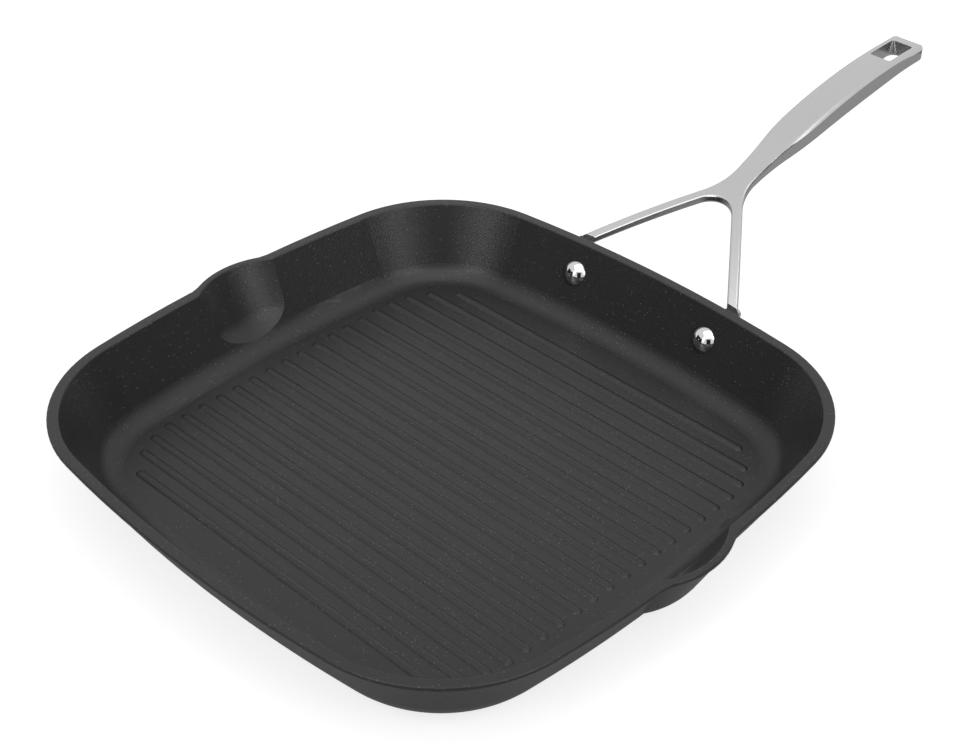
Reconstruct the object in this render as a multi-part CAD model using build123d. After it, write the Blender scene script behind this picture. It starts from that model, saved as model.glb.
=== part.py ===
from build123d import *
from math import asin, atan2, cos, degrees, radians, sin, sqrt, tan
import os

# Square grill pan, cast in one piece with two pouring spouts and a ribbed floor. A forked cast
# handle is riveted to two bosses on the back wall, and a steel plate is let into the underside.
# Frame: the origin is the centre of the underside, +Z points up, the handle runs along +Y and the
# ribs along X. The spouts are in the two side walls, at +X and -X. Lengths are in millimetres.

# Pan body
rim_side = 290.6
rim_corner_radius = 68.3
rim_bow = 4.5
rim_land = 5.0
rim_band_height = 1.9
rim_band_overhang = 1.8
rim_outer_round = 0.6
rim_inner_round = 0.8
rim_lower_round = 0.4
body_height = 41.0
floor_thickness = 7.6
outer_wall_draft = 24.0
outer_floor_radius = 29.0
inner_wall_draft = 27.0
inner_floor_radius = 12.0
cut_overrun = 2.0

# Ribs on the floor
rib_pitch = 10.0
rib_width = 4.6
rib_height = 0.9
rib_root = 0.5
rib_field_half_side = 109.0
rib_field_corner_radius = 43.0

# Pouring spouts
spout_reach = 6.9
spout_scoop_radius = 44.0
spout_slope = 27.0
scoop_slope = 30.0
spout_straight_length = 23.5
spout_end_radius = 19.0
spout_wall = 2.8
spout_lip_blend = 20.0

# Rivets and the bosses that they pass through
rivet_spacing = 81.0
rivet_depth = 13.6
rivet_seat_depth = 0.2
rivet_seat_clearance = 0.3
rivet_head_diameter = 12.8
rivet_head_height = 3.5
rivet_shank_diameter = 6.0
rivet_tail_diameter = 10.0
rivet_tail_height = 2.0
boss_radius = 8.3
boss_tip_radius = 3.7
boss_tip_lean = 4.4
boss_tip_rise = 15.9
boss_face_height = 8.3
boss_root_height = 1.0

# Handle
pad_radius = 7.5
pad_thickness = 3.6
leg_angle = 37.2
leg_width = 5.2
leg_foot_overrun = 10.0
crotch_radius = 12.5
neck_half_width = 6.3
neck_side_radius = 30.4
neck_swell_length = 24.0
grip_half_width = 9.5
tip_half_width = 11.0
tip_flare_length = 25.0
tip_corner_radius = 5.0
tip_bow = 1.5
leg_start_drop = 1.1
leg_start_angle = 28.0
leg_bend_radius = 391.0
neck_angle = 19.5
neck_straight_length = 30.0
grip_bend_radius = 338.0
grip_end_angle = 1.0
grip_level_length = 17.1
foot_depth = 3.3
leg_depth = 4.2
neck_depth = 6.4
grip_depth = 10.3
tip_depth = 6.7
handle_top_round = 1.0
handle_lower_round = 1.2
crown_flat_half_width = 6.4
crown_round = 4.8
crown_dip = 0.12
crown_run_out_length = 22.0
crown_end_round = 2.6
crown_end_lift = 0.08
hole_length = 21.5
hole_width = 12.4
hole_corner_radius = 1.2
hole_lower_length = 20.3
hole_lower_width = 11.8
hole_lower_corner_radius = 4.8
hole_end_margin = 7.0
upright_share = 0.1

# Plate in the underside
plate_side = 196.0
plate_corner_radius = 30.0
plate_thickness = 1.0
plate_clearance = 0.2

half_side = rim_side / 2
side_chord = half_side - rim_corner_radius
side_radius = (side_chord**2 + rim_bow**2) / (2 * rim_bow)
side_centre = side_radius - half_side


def rim_outline(inset):
    """The rounded square of the rim, with bowed sides, moved in by the inset."""
    reach = side_radius - rim_corner_radius
    centre = (sqrt(2 * reach**2 - side_centre**2) - side_centre) / 2
    lean = atan2(centre, centre + side_centre)
    arc_radius = side_radius - inset
    corner_radius = rim_corner_radius - inset
    near = arc_radius * sin(lean)
    far = arc_radius * cos(lean) - side_centre
    corner = centre + corner_radius / sqrt(2)
    quarters = []
    for turn in range(4):
        side = ThreePointArc((-near, far), (0, half_side - inset), (near, far))
        bend = ThreePointArc((near, far), (corner, corner), (far, near))
        quarters += [Rot(0, 0, 90 * turn) * side, Rot(0, 0, 90 * turn) * bend]
    return make_face(quarters)


def drafted_block(inset, top, bottom, draft, floor_radius):
    """A block that narrows downward from the rim outline, rounded at its lower edge."""
    sketch = Pos(0, 0, top) * rim_outline(inset)
    block = extrude(sketch, amount=bottom - top, taper=draft)
    return fillet(block.faces().sort_by(Axis.Z)[0].edges(), floor_radius)


def spout_shape(radius, end_radius, rise, slope_angle):
    """A round bar down the slope of the spout at +X, with a rounded nose at its lower end."""
    nose = -spout_straight_length
    outline = Polyline((radius, nose), (radius, rise), (0, rise), (0, nose - end_radius),
                       (radius - end_radius, nose - end_radius))
    rounding = CenterArc((radius - end_radius, nose), end_radius, -90, 90)
    bar = revolve(make_face([*outline.edges(), rounding]), Axis.Y)
    slope = radians(slope_angle)
    spout = Plane(origin=(half_side - rim_land + spout_reach, 0, body_height), x_dir=(0, 1, 0),
                  z_dir=(cos(slope), 0, -sin(slope)))
    return spout * Pos(0, 0, -spout_scoop_radius) * bar


def both_sides(shape):
    """The shape and its copy on the opposite wall."""
    return shape + Rot(0, 0, 180) * shape


def spout_lip():
    """The outline of the rim band where it bells out around the spout at +X."""
    slope = radians(spout_slope)
    radius = (spout_scoop_radius + spout_wall) * cos(slope)
    back = half_side - rim_land + spout_reach + spout_wall / cos(slope)
    return Pos(back - radius, 0) * Circle(radius)


def rim_band():
    """The flat band round the top, with a blend on each side of both lips."""
    outline = rim_outline(0) + both_sides(spout_lip())
    cusps = [corner for corner in outline.vertices()
             if abs(corner.X) > side_chord and rim_land < abs(corner.Y) < spout_scoop_radius]
    outline = fillet(cusps, spout_lip_blend)
    band = extrude(Pos(0, 0, body_height) * outline, amount=-rim_band_height)
    band = fillet(band.faces().sort_by(Axis.Z)[-1].edges(), rim_outer_round)
    return fillet(band.faces().sort_by(Axis.Z)[0].edges(), rim_lower_round)


def rib(reach):
    """A low rib with a curved top and rounded ends, which reaches equally far to both sides."""
    radius = (rib_width**2 / 4 + rib_height**2) / (2 * rib_height)
    straight = reach - rib_width / 2
    outline = [
        Line((-straight - radius, 0), (straight + radius, 0)),
        CenterArc((straight, 0), radius, 0, 90),
        Line((straight, radius), (-straight, radius)),
        CenterArc((-straight, 0), radius, 90, 90),
    ]
    bar = Pos(0, 0, rib_height - radius) * revolve(make_face(outline), Axis.X)
    above_root = Box(rim_side, rib_width * 2, rib_root + rib_height,
                     align=(Align.CENTER, Align.CENTER, Align.MIN))
    return bar & Pos(0, 0, -rib_root) * above_root


def rib_field():
    """The ribs, whose ends touch the outline of the ribbed field, also where it rounds off."""
    end_radius = rib_width / 2
    bend = rib_field_corner_radius - end_radius
    straight = rib_field_half_side - rib_field_corner_radius
    rows = int((straight + bend) / rib_pitch)
    ribs = []
    for row in range(-rows, rows + 1):
        past_corner = max(0, abs(row) * rib_pitch - straight)
        reach = straight + sqrt(bend**2 - past_corner**2) + end_radius
        ribs.append(Pos(0, row * rib_pitch, floor_thickness) * rib(reach))
    return ribs


def rivet_plane():
    """The plane on the inner face of the back wall at the right rivet, facing outward."""
    slope = radians(inner_wall_draft)
    wall_radius = side_radius - rim_land - rivet_depth * tan(slope)
    across = rivet_spacing / 2
    turn = asin(across / wall_radius)
    place = (across, wall_radius * cos(turn) - side_centre, body_height - rivet_depth)
    outward = (sin(turn) * cos(slope), cos(turn) * cos(slope), -sin(slope))
    return Plane(origin=place, x_dir=(-cos(turn), sin(turn), 0), z_dir=outward)


def tapered_pad(wide_radius, tip_radius, low, high):
    """A pad from a wide end at the rivet to a narrow tip up the wall, on the rivet plane."""
    wide = Circle(wide_radius)
    tip = Pos(-boss_tip_lean, boss_tip_rise) * Circle(tip_radius)
    outline = make_hull([*wide.edges(), *tip.edges()])
    return extrude(Pos(0, 0, low) * outline, amount=high - low)


def handle_boss():
    """The right boss, level with the underside of the rim band."""
    boss = rivet_plane() * tapered_pad(boss_radius, boss_tip_radius, boss_root_height, boss_face_height)
    cover = Box(rim_side, rim_side, rim_side, align=(Align.CENTER, Align.CENTER, Align.MIN))
    return boss - Pos(0, half_side, body_height - rim_band_height) * cover


def rivet():
    """The right rivet: a domed head inside the wall, a shank and a domed tail outside the pad."""
    head = dome(rivet_head_diameter, rivet_head_height)
    tail = dome(rivet_tail_diameter, rivet_tail_height)
    shank_end = boss_face_height + pad_thickness
    shank = extrude(Pos(0, 0, rivet_seat_depth) * Circle(rivet_shank_diameter / 2),
                    amount=shank_end - rivet_seat_depth)
    head = Pos(0, 0, rivet_seat_depth) * Rot(180, 0, 0) * head
    return rivet_plane() * (head + shank + Pos(0, 0, shank_end) * tail)


def dome(diameter, height):
    """A round cap that stands on its flat face."""
    radius = diameter / 2
    ball_radius = (radius**2 + height**2) / (2 * height)
    cap = Pos(0, 0, height - ball_radius) * Sphere(ball_radius)
    keep = Cylinder(radius, 2 * height, align=(Align.CENTER, Align.CENTER, Align.MIN))
    return cap & keep


def rivet_hole():
    """The right rivet's hole and the flat seat of its head in the inner wall."""
    end = boss_face_height + pad_thickness
    bore = extrude(Pos(0, 0, -cut_overrun) * Circle(rivet_shank_diameter / 2),
                   amount=end + 2 * cut_overrun)
    seat_radius = rivet_head_diameter / 2 + rivet_seat_clearance
    seat = extrude(Pos(0, 0, rivet_seat_depth) * Circle(seat_radius),
                   amount=-rivet_seat_depth - cut_overrun)
    return rivet_plane() * (bore + seat)


def mirrored(shape):
    """The shape on the right and its mirror image on the left."""
    return shape + mirror(shape, Plane.YZ)


def base_plate(clearance):
    """The steel plate in the underside, or its recess when it is given a clearance."""
    side = plate_side + 2 * clearance
    corner_radius = plate_corner_radius + clearance
    return extrude(RectangleRounded(side, side, corner_radius), amount=plate_thickness)


def pan_body():
    """The casting: drafted walls, rim band, spouts, ribs, bosses and the recess for the plate."""
    body = drafted_block(rim_band_overhang, body_height, 0, outer_wall_draft, outer_floor_radius)
    bulge = spout_shape(spout_scoop_radius + spout_wall, spout_end_radius + spout_wall, cut_overrun,
                        spout_slope)
    room = 2 * rim_side
    under_band = extrude(Rectangle(room, room), amount=body_height - rim_band_height)
    body = (body + both_sides(bulge)) & under_band
    body += mirrored(handle_boss())
    body += rim_band()
    body -= bowl()
    top = body.faces().sort_by(Axis.Z)[-1]
    body = fillet(top.inner_wires()[0].edges(), rim_inner_round)
    body += rib_field()
    body -= mirrored(rivet_hole())
    body -= base_plate(plate_clearance)
    return body


def bowl():
    """The room inside the pan, with the scoops of both spouts and a rounded edge at the rim."""
    flare = cut_overrun * tan(radians(inner_wall_draft))
    room = drafted_block(rim_land - flare, body_height + cut_overrun, floor_thickness,
                         inner_wall_draft, inner_floor_radius)
    scoop = spout_shape(spout_scoop_radius, spout_end_radius, 2 * cut_overrun, scoop_slope)
    return room + both_sides(scoop)


def handle_plan():
    """The handle seen from above: two straight legs, a narrow neck and a grip with a squared end."""
    lean = radians(leg_angle)
    aside = Vector(cos(lean), sin(lean))
    along = Vector(-sin(lean), cos(lean))
    foot = leg_foot()
    foot = Vector(foot.X, foot.Y)
    neck_x = neck_half_width + neck_side_radius
    neck_y = foot.Y + (leg_width / 2 + neck_side_radius - aside.X * (neck_x - foot.X)) / aside.Y
    crotch_y = foot.Y + (aside.X * foot.X - leg_width / 2 - crotch_radius) / aside.Y
    foot_end = foot - along * leg_foot_overrun
    neck_side = Vector(neck_x, neck_y) - aside * neck_side_radius
    crotch_side = Vector(0, crotch_y) + aside * crotch_radius
    outer_foot = foot_end + aside * (leg_width / 2)
    inner_foot = foot_end - aside * (leg_width / 2)
    neck = Vector(neck_half_width, neck_y)
    swell = Vector((neck_half_width + grip_half_width) / 2, neck_y + neck_swell_length)
    grip = Vector(grip_half_width, neck_y + 2 * neck_swell_length)
    end_y = handle_end().X
    end_corner = Vector(tip_half_width, end_y - tip_bow)
    flare = Vector(grip_half_width, end_corner.Y - tip_flare_length)
    right_side = [
        TangentArc(flare, end_corner, tangent=(0, 1)),
        Line(grip, flare),
        TangentArc(grip, swell, tangent=(0, -1)),
        TangentArc(neck, swell, tangent=(0, 1)),
        TangentArc(neck, neck_side, tangent=(0, -1)),
        Line(neck_side, outer_foot),
        Line(outer_foot, inner_foot),
        Line(inner_foot, crotch_side),
    ]
    left_side = [mirror(edge, Plane.YZ) for edge in right_side]
    crotch = ThreePointArc(crotch_side, (0, crotch_y + crotch_radius), (-crotch_side.X, crotch_side.Y))
    end = ThreePointArc(end_corner, (0, end_y), (-end_corner.X, end_corner.Y))
    outline = make_face([*right_side, crotch, *left_side, end])
    corners = [corner for corner in outline.vertices() if corner.Y > flare.Y + tip_flare_length / 2]
    return fillet(corners, tip_corner_radius)


def leg_foot():
    """The middle of the right leg's foot, on the face of its boss."""
    return rivet_plane().from_local_coords(Vector(-boss_tip_lean, boss_tip_rise, boss_face_height))


def ahead(point, heading, distance):
    """The point that lies a distance ahead on a heading in degrees above level."""
    return point + Vector(cos(radians(heading)), sin(radians(heading))) * distance


def bend_end(point, radius, heading, new_heading):
    """The end of an arc that bends down from one heading to another."""
    centre = ahead(point, heading - 90, radius)
    return ahead(centre, new_heading + 90, radius)


def handle_level_start():
    """The point of the handle's top edge, seen from the side, where the grip has levelled out."""
    foot = Vector(leg_foot().Y, body_height - leg_start_drop)
    neck = bend_end(foot, leg_bend_radius, leg_start_angle, neck_angle)
    grip = ahead(neck, neck_angle, neck_straight_length)
    return bend_end(grip, grip_bend_radius, neck_angle, grip_end_angle)


def handle_end():
    """The point of the handle's top edge, seen from the side, at the very end of the grip."""
    return ahead(handle_level_start(), grip_end_angle, grip_level_length)


def handle_side():
    """The handle seen from the side: a rising strip that levels out and thickens at the grip."""
    foot = Vector(leg_foot().Y, body_height - leg_start_drop)
    start = ahead(foot, leg_start_angle, -2 * leg_foot_overrun)
    neck = bend_end(foot, leg_bend_radius, leg_start_angle, neck_angle)
    grip = ahead(neck, neck_angle, neck_straight_length)
    middle_angle = (neck_angle + grip_end_angle) / 2
    late_angle = (middle_angle + grip_end_angle) / 2
    middle = bend_end(grip, grip_bend_radius, neck_angle, middle_angle)
    late = bend_end(grip, grip_bend_radius, neck_angle, late_angle)
    level = handle_level_start()
    end = ahead(handle_end(), grip_end_angle, cut_overrun)
    top = [
        Line(start, foot),
        TangentArc(foot, neck, tangent=ahead(Vector(0, 0), leg_start_angle, leg_depth)),
        Line(neck, grip),
        TangentArc(grip, level, tangent=ahead(Vector(0, 0), neck_angle, neck_depth)),
        Line(level, end),
    ]
    below = [
        ahead(end, grip_end_angle - 90, tip_depth),
        ahead(level, grip_end_angle - 90, (tip_depth + grip_depth) / 2),
        ahead(late, late_angle - 90, grip_depth),
        ahead(middle, middle_angle - 90, grip_depth),
        ahead(grip, neck_angle - 90, neck_depth),
        ahead(neck, neck_angle - 90, leg_depth),
        ahead(foot, leg_start_angle - 90, foot_depth),
        ahead(start, leg_start_angle - 90, foot_depth),
    ]
    return make_face([*top, Line(end, below[0]), Spline(*below), Line(below[-1], start)])


def rim_edges(shape, rising):
    """The edges that bound the upright faces of the shape, at its top or at its underside."""
    level_faces = [face for face in shape.faces() if face.normal_at().Z * rising > upright_share]
    upright_faces = [face for face in shape.faces() if abs(face.normal_at().Z) < upright_share]
    upright_edges = {edge for face in upright_faces for edge in face.edges()}
    return [edge for face in level_faces for edge in face.edges() if edge in upright_edges]


def hanging_hole():
    """The hole near the end of the handle, wider at the top than below."""
    middle = ahead(handle_end(), grip_end_angle, -hole_end_margin - hole_length / 2)
    top = Plane(origin=(0, middle.X, middle.Y), x_dir=(1, 0, 0),
                z_dir=(0, -sin(radians(grip_end_angle)), cos(radians(grip_end_angle))))
    upper = RectangleRounded(hole_width, hole_length, hole_corner_radius)
    lower = RectangleRounded(hole_lower_width, hole_lower_length, hole_lower_corner_radius)
    hole = loft([upper, Pos(0, 0, -tip_depth) * lower])
    hole += extrude(upper, amount=cut_overrun)
    hole += extrude(Pos(0, 0, -tip_depth) * lower, amount=-tip_depth)
    return top * hole


def crown_section(path_point, heading):
    """The room above the soft top of the grip, cut across at a point of the handle's top edge."""
    flat_end = (crown_flat_half_width, -crown_dip)
    rounding = CenterArc((crown_flat_half_width, -crown_dip - crown_round), crown_round, 0, 90)
    low = -crown_dip - crown_round
    around = Polyline((crown_flat_half_width + crown_round, low), (neck_side_radius, low),
                      (neck_side_radius, crown_round), (0, crown_round), (0, -crown_dip), flat_end)
    right_half = make_face([rounding, *around.edges()])
    across = Plane(origin=(0, path_point.X, path_point.Y), x_dir=(-1, 0, 0),
                   z_dir=(0, cos(radians(heading)), sin(radians(heading))))
    return across * (right_half + mirror(right_half, Plane.YZ))


def crown_room():
    """The room above the soft top of the grip, which runs out level with the top of the neck."""
    level = handle_level_start()
    bend_middle = ahead(level, grip_end_angle - 90, grip_bend_radius)
    start = ahead(bend_middle, neck_angle + 90, grip_bend_radius)
    run_out_radius = crown_run_out_length**2 / (2 * crown_dip)
    run_out_middle = ahead(start, neck_angle + 90, run_out_radius)
    first = crown_section(start, neck_angle)
    bend = revolve(first, Axis((0, bend_middle.X, bend_middle.Y), (-1, 0, 0)),
                   neck_angle - grip_end_angle)
    run_out = revolve(first, Axis((0, run_out_middle.X, run_out_middle.Y), (-1, 0, 0)),
                      degrees(crown_run_out_length / run_out_radius))
    end = extrude(crown_section(level, grip_end_angle), amount=grip_level_length + cut_overrun)
    return run_out + bend + end + end_room()


def end_room():
    """The room outside the soft top edge at the end of the grip."""
    end = handle_end()
    middle = ahead(ahead(end, grip_end_angle + 180, crown_end_round),
                   grip_end_angle - 90, crown_dip + crown_end_round - crown_end_lift)
    corner = ahead(ahead(middle, grip_end_angle + 90, crown_end_round), grip_end_angle, crown_end_round)
    outline = Polyline(ahead(middle, grip_end_angle, crown_end_round),
                       ahead(middle, grip_end_angle, crown_end_round + cut_overrun),
                       ahead(corner, grip_end_angle + 45, cut_overrun * 2),
                       ahead(middle, grip_end_angle + 90, crown_end_round + cut_overrun),
                       ahead(middle, grip_end_angle + 90, crown_end_round))
    rounding = CenterArc(middle, crown_end_round, grip_end_angle, 90)
    return extrude(Plane.YZ * make_face([rounding, *outline.edges()]), amount=neck_side_radius, both=True)


def handle():
    """The forked handle with a pad at the foot of each leg."""
    strip = extrude(Plane.YZ * handle_side(), amount=rim_side, both=True)
    bar = strip & extrude(handle_plan(), amount=rim_side)
    bar = fillet(rim_edges(bar, 1), handle_top_round)
    bar = fillet(rim_edges(bar, -1), handle_lower_round)
    bar -= crown_room()
    bar -= hanging_hole()
    bar -= mirrored(wall_side())
    pad = rivet_plane() * tapered_pad(pad_radius, leg_width / 2, boss_face_height,
                                      boss_face_height + pad_thickness)
    bar += mirrored(pad)
    return bar - mirrored(rivet_hole())


def wall_side():
    """The room on the pan's side of the right boss's face."""
    side = rivet_spacing
    room = Box(side, side, side, align=(Align.CENTER, Align.CENTER, Align.MAX))
    return rivet_plane() * Pos(0, 0, boss_face_height) * room


os.makedirs("parts", exist_ok=True)
right_rivet = rivet()
nodes = {
    "pan_body": pan_body(),
    "base_plate": base_plate(0),
    "handle": handle(),
    "rivet_right": right_rivet,
    "rivet_left": mirror(right_rivet, Plane.YZ),
}
for name, shape in nodes.items():
    export_step(shape, f"parts/{name}.step")
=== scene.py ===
import math

import bpy
import bmesh
from mathutils import Matrix, Vector

# Square grill pan with a forked metal handle, dressed for a studio photograph. Lengths are in
# metres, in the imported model's frame: +Z up, the handle along +Y, the ribs along X.

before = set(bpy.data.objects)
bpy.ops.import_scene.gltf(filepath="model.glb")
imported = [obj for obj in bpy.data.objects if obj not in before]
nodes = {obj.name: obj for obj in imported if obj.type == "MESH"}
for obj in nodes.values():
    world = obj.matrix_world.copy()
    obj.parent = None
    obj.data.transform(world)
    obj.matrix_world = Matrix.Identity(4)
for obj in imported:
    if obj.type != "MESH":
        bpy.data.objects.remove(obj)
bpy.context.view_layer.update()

# The camera of the photograph
camera_azimuth = 0.761577
camera_elevation = 0.635147
camera_roll = 0.011041
camera_distance = 0.800885
camera_target = Vector((-0.000118, 0.026771, 0.041))
camera_lens = 66.896

# The film's width that the lens is given for, and how near and far the camera sees
film_width = 36.0
clip_near = 0.01
clip_far = 50.0

# The studio: the glow makes the paper look white, and less of it shows in glossy surfaces
floor_size = 12.0
floor_colour = 0.4
floor_glow = 0.74
floor_glow_in_gloss = 0.1
background_white = 1.0
fill_level = 0.4
felt_colour = 0.05

# Soft boxes: name, azimuth and elevation in degrees, distance, width, height, power
soft_boxes = (
    ("overhead box", 45, 78, 2.6, 3.0, 3.0, 32),
    ("left box", 2, 36, 2.0, 0.34, 1.5, 10),
    ("right box", 94, 36, 2.0, 0.34, 1.5, 10),
)

# Dark cards: name, azimuth and elevation in degrees, distance, width, height
dark_cards = (
    ("card behind camera", 46, 20, 2.4, 1.3, 1.7),
    ("low card on the left", -36, 12, 2.2, 2.3, 1.4),
    ("low card at the back", 126, 12, 2.2, 2.3, 1.2),
)

# The coating: flecks per metre, the share of cells without a fleck, and a fleck's core and edge
fleck_scale = 900.0
cells_without_fleck = 0.9
fleck_core = 0.12
fleck_edge = 0.34
pebble_scale = 1500.0
cloud_scale = 26.0


def direction(azimuth, elevation):
    """The unit vector from the object toward a place in the studio. Azimuth 0 is toward -Y."""
    return Vector((math.sin(azimuth) * math.cos(elevation),
                   -math.cos(azimuth) * math.cos(elevation), math.sin(elevation)))


def make_camera():
    """The camera at the photograph's place, with its slight roll."""
    back = direction(camera_azimuth, camera_elevation)
    right = Vector((math.cos(camera_azimuth), math.sin(camera_azimuth), 0))
    up = back.cross(right)
    rolled_right = right * math.cos(camera_roll) + up * math.sin(camera_roll)
    rolled_up = up * math.cos(camera_roll) - right * math.sin(camera_roll)
    data = bpy.data.cameras.new("camera")
    data.lens = camera_lens
    data.sensor_width = film_width
    data.clip_start = clip_near
    data.clip_end = clip_far
    camera = bpy.data.objects.new("camera", data)
    bpy.context.scene.collection.objects.link(camera)
    turned = Matrix((rolled_right, rolled_up, back)).transposed().to_4x4()
    camera.matrix_world = Matrix.Translation(camera_target + back * camera_distance) @ turned
    bpy.context.scene.camera = camera


def place_toward_object(thing, azimuth, elevation, distance):
    """Puts a lamp or a card in the studio, turned toward the pan."""
    away = direction(azimuth, elevation)
    thing.location = camera_target + away * distance
    thing.rotation_euler = (-away).to_track_quat("-Z", "Y").to_euler()


def soft_lamp(name, azimuth, elevation, distance, width, height, power):
    """A rectangular soft box."""
    data = bpy.data.lights.new(name, "AREA")
    data.shape = "RECTANGLE"
    data.size = width
    data.size_y = height
    data.energy = power
    lamp = bpy.data.objects.new(name, data)
    bpy.context.scene.collection.objects.link(lamp)
    place_toward_object(lamp, math.radians(azimuth), math.radians(elevation), distance)


def new_material(name):
    """An empty node material and its node tree."""
    material = bpy.data.materials.new(name)
    material.use_nodes = True
    material.node_tree.nodes.clear()
    return material, material.node_tree


def add_node(tree, kind, **values):
    """A node whose plain inputs are set by their names, with spaces written as underscores."""
    node = tree.nodes.new(kind)
    for name, value in values.items():
        socket = node.inputs.get(name.replace("_", " "))
        if socket is not None:
            socket.default_value = value
        else:
            setattr(node, name, value)
    return node


def dark_card(name, azimuth, elevation, distance, width, height):
    """A dark card that only the glossy surfaces see, as a photographer's black flag."""
    mesh = bpy.data.meshes.new(name)
    card = bmesh.new()
    bmesh.ops.create_grid(card, x_segments=1, y_segments=1, size=0.5)
    bmesh.ops.scale(card, vec=(width, height, 1), verts=card.verts)
    card.to_mesh(mesh)
    card.free()
    flag = bpy.data.objects.new(name, mesh)
    bpy.context.scene.collection.objects.link(flag)
    place_toward_object(flag, math.radians(azimuth), math.radians(elevation), distance)
    flag.visible_camera = False
    flag.visible_diffuse = False
    flag.visible_shadow = False
    flag.data.materials.append(card_material())


def card_material():
    """Black felt for the cards."""
    if "card felt" in bpy.data.materials:
        return bpy.data.materials["card felt"]
    material, tree = new_material("card felt")
    felt = add_node(tree, "ShaderNodeBsdfDiffuse", Color=(felt_colour, felt_colour, felt_colour, 1))
    output = add_node(tree, "ShaderNodeOutputMaterial")
    tree.links.new(felt.outputs["BSDF"], output.inputs["Surface"])
    return material


def seen_directly(tree):
    """1 where a ray comes from the camera, a reflection or a see-through surface, else 0."""
    path = add_node(tree, "ShaderNodeLightPath")
    first = add_node(tree, "ShaderNodeMath", operation="MAXIMUM")
    both = add_node(tree, "ShaderNodeMath", operation="MAXIMUM")
    tree.links.new(path.outputs["Is Camera Ray"], first.inputs[0])
    tree.links.new(path.outputs["Is Glossy Ray"], first.inputs[1])
    tree.links.new(first.outputs[0], both.inputs[0])
    tree.links.new(path.outputs["Is Transmission Ray"], both.inputs[1])
    return both.outputs[0]


def make_world():
    """White where it is seen, and a weaker even fill where it only lights."""
    world = bpy.data.worlds.new("studio")
    world.use_nodes = True
    tree = world.node_tree
    tree.nodes.clear()
    seen = seen_directly(tree)
    level = add_node(tree, "ShaderNodeMapRange")
    level.inputs["To Min"].default_value = fill_level
    level.inputs["To Max"].default_value = background_white
    background = add_node(tree, "ShaderNodeBackground", Color=(1, 1, 1, 1))
    output = add_node(tree, "ShaderNodeOutputWorld")
    tree.links.new(seen, level.inputs["Value"])
    tree.links.new(level.outputs["Result"], background.inputs["Strength"])
    tree.links.new(background.outputs["Background"], output.inputs["Surface"])
    bpy.context.scene.world = world


def make_floor():
    """A pale paper floor that looks white and keeps the pan's shadow."""
    mesh = bpy.data.meshes.new("floor")
    paper = bmesh.new()
    bmesh.ops.create_grid(paper, x_segments=1, y_segments=1, size=floor_size / 2)
    paper.to_mesh(mesh)
    paper.free()
    floor = bpy.data.objects.new("floor", mesh)
    bpy.context.scene.collection.objects.link(floor)
    material, tree = new_material("white paper")
    matte = add_node(tree, "ShaderNodeBsdfDiffuse", Color=(floor_colour, floor_colour, floor_colour, 1))
    glow = add_node(tree, "ShaderNodeEmission", Color=(1, 1, 1, 1))
    path = add_node(tree, "ShaderNodeLightPath")
    mirrored = add_node(tree, "ShaderNodeMapRange")
    mirrored.inputs["To Min"].default_value = floor_glow
    mirrored.inputs["To Max"].default_value = floor_glow_in_gloss
    strength = add_node(tree, "ShaderNodeMath", operation="MULTIPLY")
    tree.links.new(path.outputs["Is Glossy Ray"], mirrored.inputs["Value"])
    tree.links.new(mirrored.outputs["Result"], strength.inputs[1])
    both = add_node(tree, "ShaderNodeAddShader")
    output = add_node(tree, "ShaderNodeOutputMaterial")
    tree.links.new(seen_directly(tree), strength.inputs[0])
    tree.links.new(strength.outputs[0], glow.inputs["Strength"])
    tree.links.new(matte.outputs["BSDF"], both.inputs[0])
    tree.links.new(glow.outputs["Emission"], both.inputs[1])
    tree.links.new(both.outputs["Shader"], output.inputs["Surface"])
    mesh.materials.append(material)


def make_lamps():
    """One large soft box overhead and a tall narrow one on each side of the camera."""
    for box in soft_boxes:
        soft_lamp(*box)


def make_cards():
    """Low dark cards, which the pan's walls and the sides of the metal mirror."""
    for card in dark_cards:
        dark_card(*card)


def grain_group():
    """Fine noise marks on the given coordinates: a tone, half marks and half softer clouds, and a
    height.
    """
    group = bpy.data.node_groups.new("fine grain", "ShaderNodeTree")
    group.interface.new_socket(name="Coordinates", in_out="INPUT", socket_type="NodeSocketVector")
    group.interface.new_socket(name="Fineness", in_out="INPUT", socket_type="NodeSocketFloat")
    group.interface.new_socket(name="Tone", in_out="OUTPUT", socket_type="NodeSocketFloat")
    group.interface.new_socket(name="Height", in_out="OUTPUT", socket_type="NodeSocketFloat")
    inside = add_node(group, "NodeGroupInput")
    outside = add_node(group, "NodeGroupOutput")
    lines = add_node(group, "ShaderNodeTexNoise", Detail=4.0, Roughness=0.65)
    clouds = add_node(group, "ShaderNodeTexNoise", Scale=38.0, Detail=2.0)
    tone = add_node(group, "ShaderNodeMath", operation="MULTIPLY_ADD")
    tone.inputs[1].default_value = 0.5
    share = add_node(group, "ShaderNodeMath", operation="MULTIPLY")
    share.inputs[1].default_value = 0.5
    group.links.new(inside.outputs["Coordinates"], lines.inputs["Vector"])
    group.links.new(inside.outputs["Coordinates"], clouds.inputs["Vector"])
    group.links.new(inside.outputs["Fineness"], lines.inputs["Scale"])
    group.links.new(clouds.outputs["Fac"], share.inputs[0])
    group.links.new(lines.outputs["Fac"], tone.inputs[0])
    group.links.new(share.outputs[0], tone.inputs[2])
    group.links.new(tone.outputs[0], outside.inputs["Tone"])
    group.links.new(lines.outputs["Fac"], outside.inputs["Height"])
    return group


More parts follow.
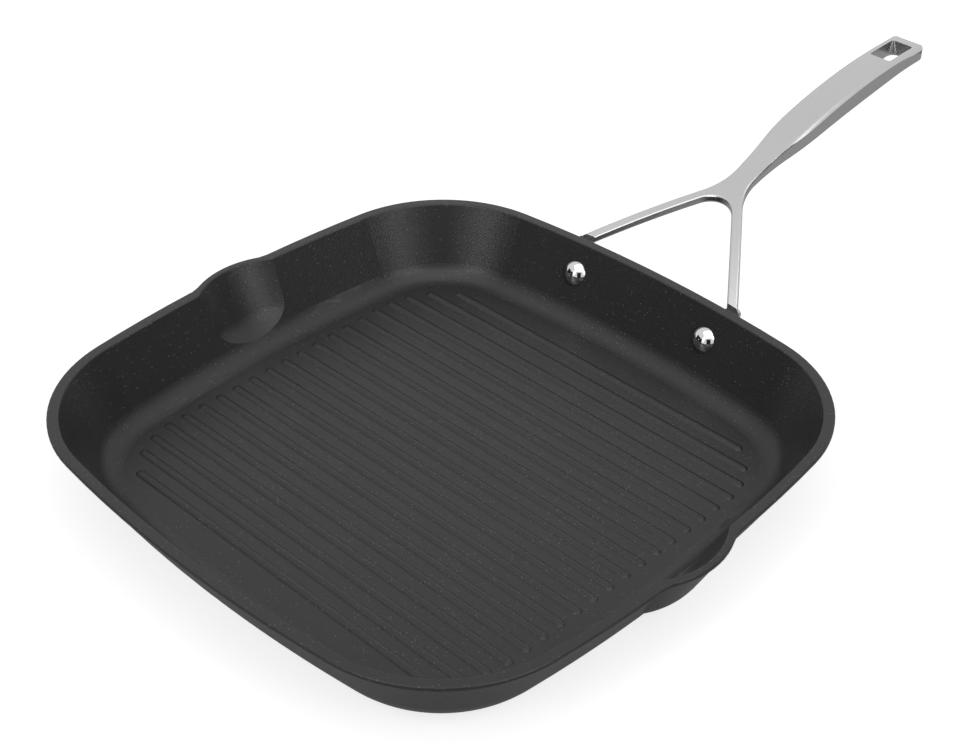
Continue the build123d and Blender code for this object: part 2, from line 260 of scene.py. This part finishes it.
def metal(name, grain, stretch, fineness, dark, light, smooth, rough, relief, depth):
    """A steel whose tone, gloss and relief follow its grain."""
    material, tree = new_material(name)
    place = add_node(tree, "ShaderNodeTexCoord")
    drawn = add_node(tree, "ShaderNodeMapping", Scale=stretch)
    marks = add_node(tree, "ShaderNodeGroup", node_tree=grain)
    marks.inputs["Fineness"].default_value = fineness
    tint = add_node(tree, "ShaderNodeMix", data_type="RGBA")
    tint.inputs[6].default_value = dark
    tint.inputs[7].default_value = light
    gloss = add_node(tree, "ShaderNodeMapRange")
    gloss.inputs["To Min"].default_value = smooth
    gloss.inputs["To Max"].default_value = rough
    bump = add_node(tree, "ShaderNodeBump", Strength=relief, Distance=depth)
    steel = add_node(tree, "ShaderNodeBsdfPrincipled", Metallic=1.0)
    output = add_node(tree, "ShaderNodeOutputMaterial")
    tree.links.new(place.outputs["Object"], drawn.inputs["Vector"])
    tree.links.new(drawn.outputs["Vector"], marks.inputs["Coordinates"])
    tree.links.new(marks.outputs["Tone"], tint.inputs[0])
    tree.links.new(marks.outputs["Tone"], gloss.inputs["Value"])
    tree.links.new(marks.outputs["Height"], bump.inputs["Height"])
    tree.links.new(tint.outputs[2], steel.inputs["Base Color"])
    tree.links.new(gloss.outputs["Result"], steel.inputs["Roughness"])
    tree.links.new(bump.outputs["Normal"], steel.inputs["Normal"])
    tree.links.new(steel.outputs["BSDF"], output.inputs["Surface"])
    return material


def speckled_coating():
    """The pan's matte non-stick coating: charcoal, finely pebbled, with small pale flecks."""
    material, tree = new_material("speckled coating")
    place = add_node(tree, "ShaderNodeTexCoord")
    cells = add_node(tree, "ShaderNodeTexVoronoi", Scale=fleck_scale)
    fleck = add_node(tree, "ShaderNodeMapRange")
    fleck.inputs["From Min"].default_value = fleck_edge
    fleck.inputs["From Max"].default_value = fleck_core
    choice = add_node(tree, "ShaderNodeSeparateColor")
    chosen = add_node(tree, "ShaderNodeMath", operation="GREATER_THAN")
    chosen.inputs[1].default_value = cells_without_fleck
    shown = add_node(tree, "ShaderNodeMath", operation="MULTIPLY")
    clouds = add_node(tree, "ShaderNodeTexNoise", Scale=cloud_scale, Detail=3.0)
    tone = add_node(tree, "ShaderNodeMix", data_type="RGBA")
    tone.inputs[6].default_value = (0.016, 0.016, 0.0163, 1)
    tone.inputs[7].default_value = (0.022, 0.022, 0.0224, 1)
    colour = add_node(tree, "ShaderNodeMix", data_type="RGBA")
    colour.inputs[7].default_value = (0.1, 0.1, 0.1, 1)
    pebble = add_node(tree, "ShaderNodeTexNoise", Scale=pebble_scale, Detail=2.0)
    gloss = add_node(tree, "ShaderNodeMapRange")
    gloss.inputs["To Min"].default_value = 0.24
    gloss.inputs["To Max"].default_value = 0.38
    bump = add_node(tree, "ShaderNodeBump", Strength=0.8, Distance=0.0002)
    coat = add_node(tree, "ShaderNodeBsdfPrincipled", IOR=1.38)
    output = add_node(tree, "ShaderNodeOutputMaterial")
    for texture in (cells, clouds, pebble):
        tree.links.new(place.outputs["Object"], texture.inputs["Vector"])
    tree.links.new(cells.outputs["Distance"], fleck.inputs["Value"])
    tree.links.new(cells.outputs["Color"], choice.inputs["Color"])
    tree.links.new(choice.outputs["Red"], chosen.inputs[0])
    tree.links.new(chosen.outputs[0], shown.inputs[0])
    tree.links.new(fleck.outputs["Result"], shown.inputs[1])
    tree.links.new(clouds.outputs["Fac"], tone.inputs[0])
    tree.links.new(tone.outputs[2], colour.inputs[6])
    tree.links.new(shown.outputs[0], colour.inputs[0])
    tree.links.new(pebble.outputs["Fac"], gloss.inputs["Value"])
    tree.links.new(pebble.outputs["Fac"], bump.inputs["Height"])
    tree.links.new(colour.outputs[2], coat.inputs["Base Color"])
    tree.links.new(gloss.outputs["Result"], coat.inputs["Roughness"])
    tree.links.new(bump.outputs["Normal"], coat.inputs["Normal"])
    tree.links.new(coat.outputs["BSDF"], output.inputs["Surface"])
    return material


def dress(node, material):
    """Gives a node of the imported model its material."""
    mesh = nodes[node].data
    mesh.materials.clear()
    mesh.materials.append(material)


make_camera()
make_world()
make_floor()
make_lamps()
make_cards()

grain = grain_group()
handle_metal = metal("satin handle steel", grain, (1, 0.06, 1), 900,
                     (0.46, 0.46, 0.465, 1), (0.54, 0.54, 0.545, 1), 0.2, 0.3, 0.06, 0.0001)
rivet_metal = metal("polished rivet steel", grain, (1, 1, 1), 500,
                    (0.58, 0.58, 0.59, 1), (0.66, 0.66, 0.67, 1), 0.05, 0.11, 0.03, 0.00005)
plate_metal = metal("brushed plate steel", grain, (0.04, 1, 1), 1100,
                    (0.42, 0.42, 0.43, 1), (0.56, 0.56, 0.57, 1), 0.26, 0.42, 0.15, 0.0001)
dress("pan_body", speckled_coating())
dress("handle", handle_metal)
dress("rivet_left", rivet_metal)
dress("rivet_right", rivet_metal)
dress("base_plate", plate_metal)

scene = bpy.context.scene
scene.view_settings.view_transform = "Standard"
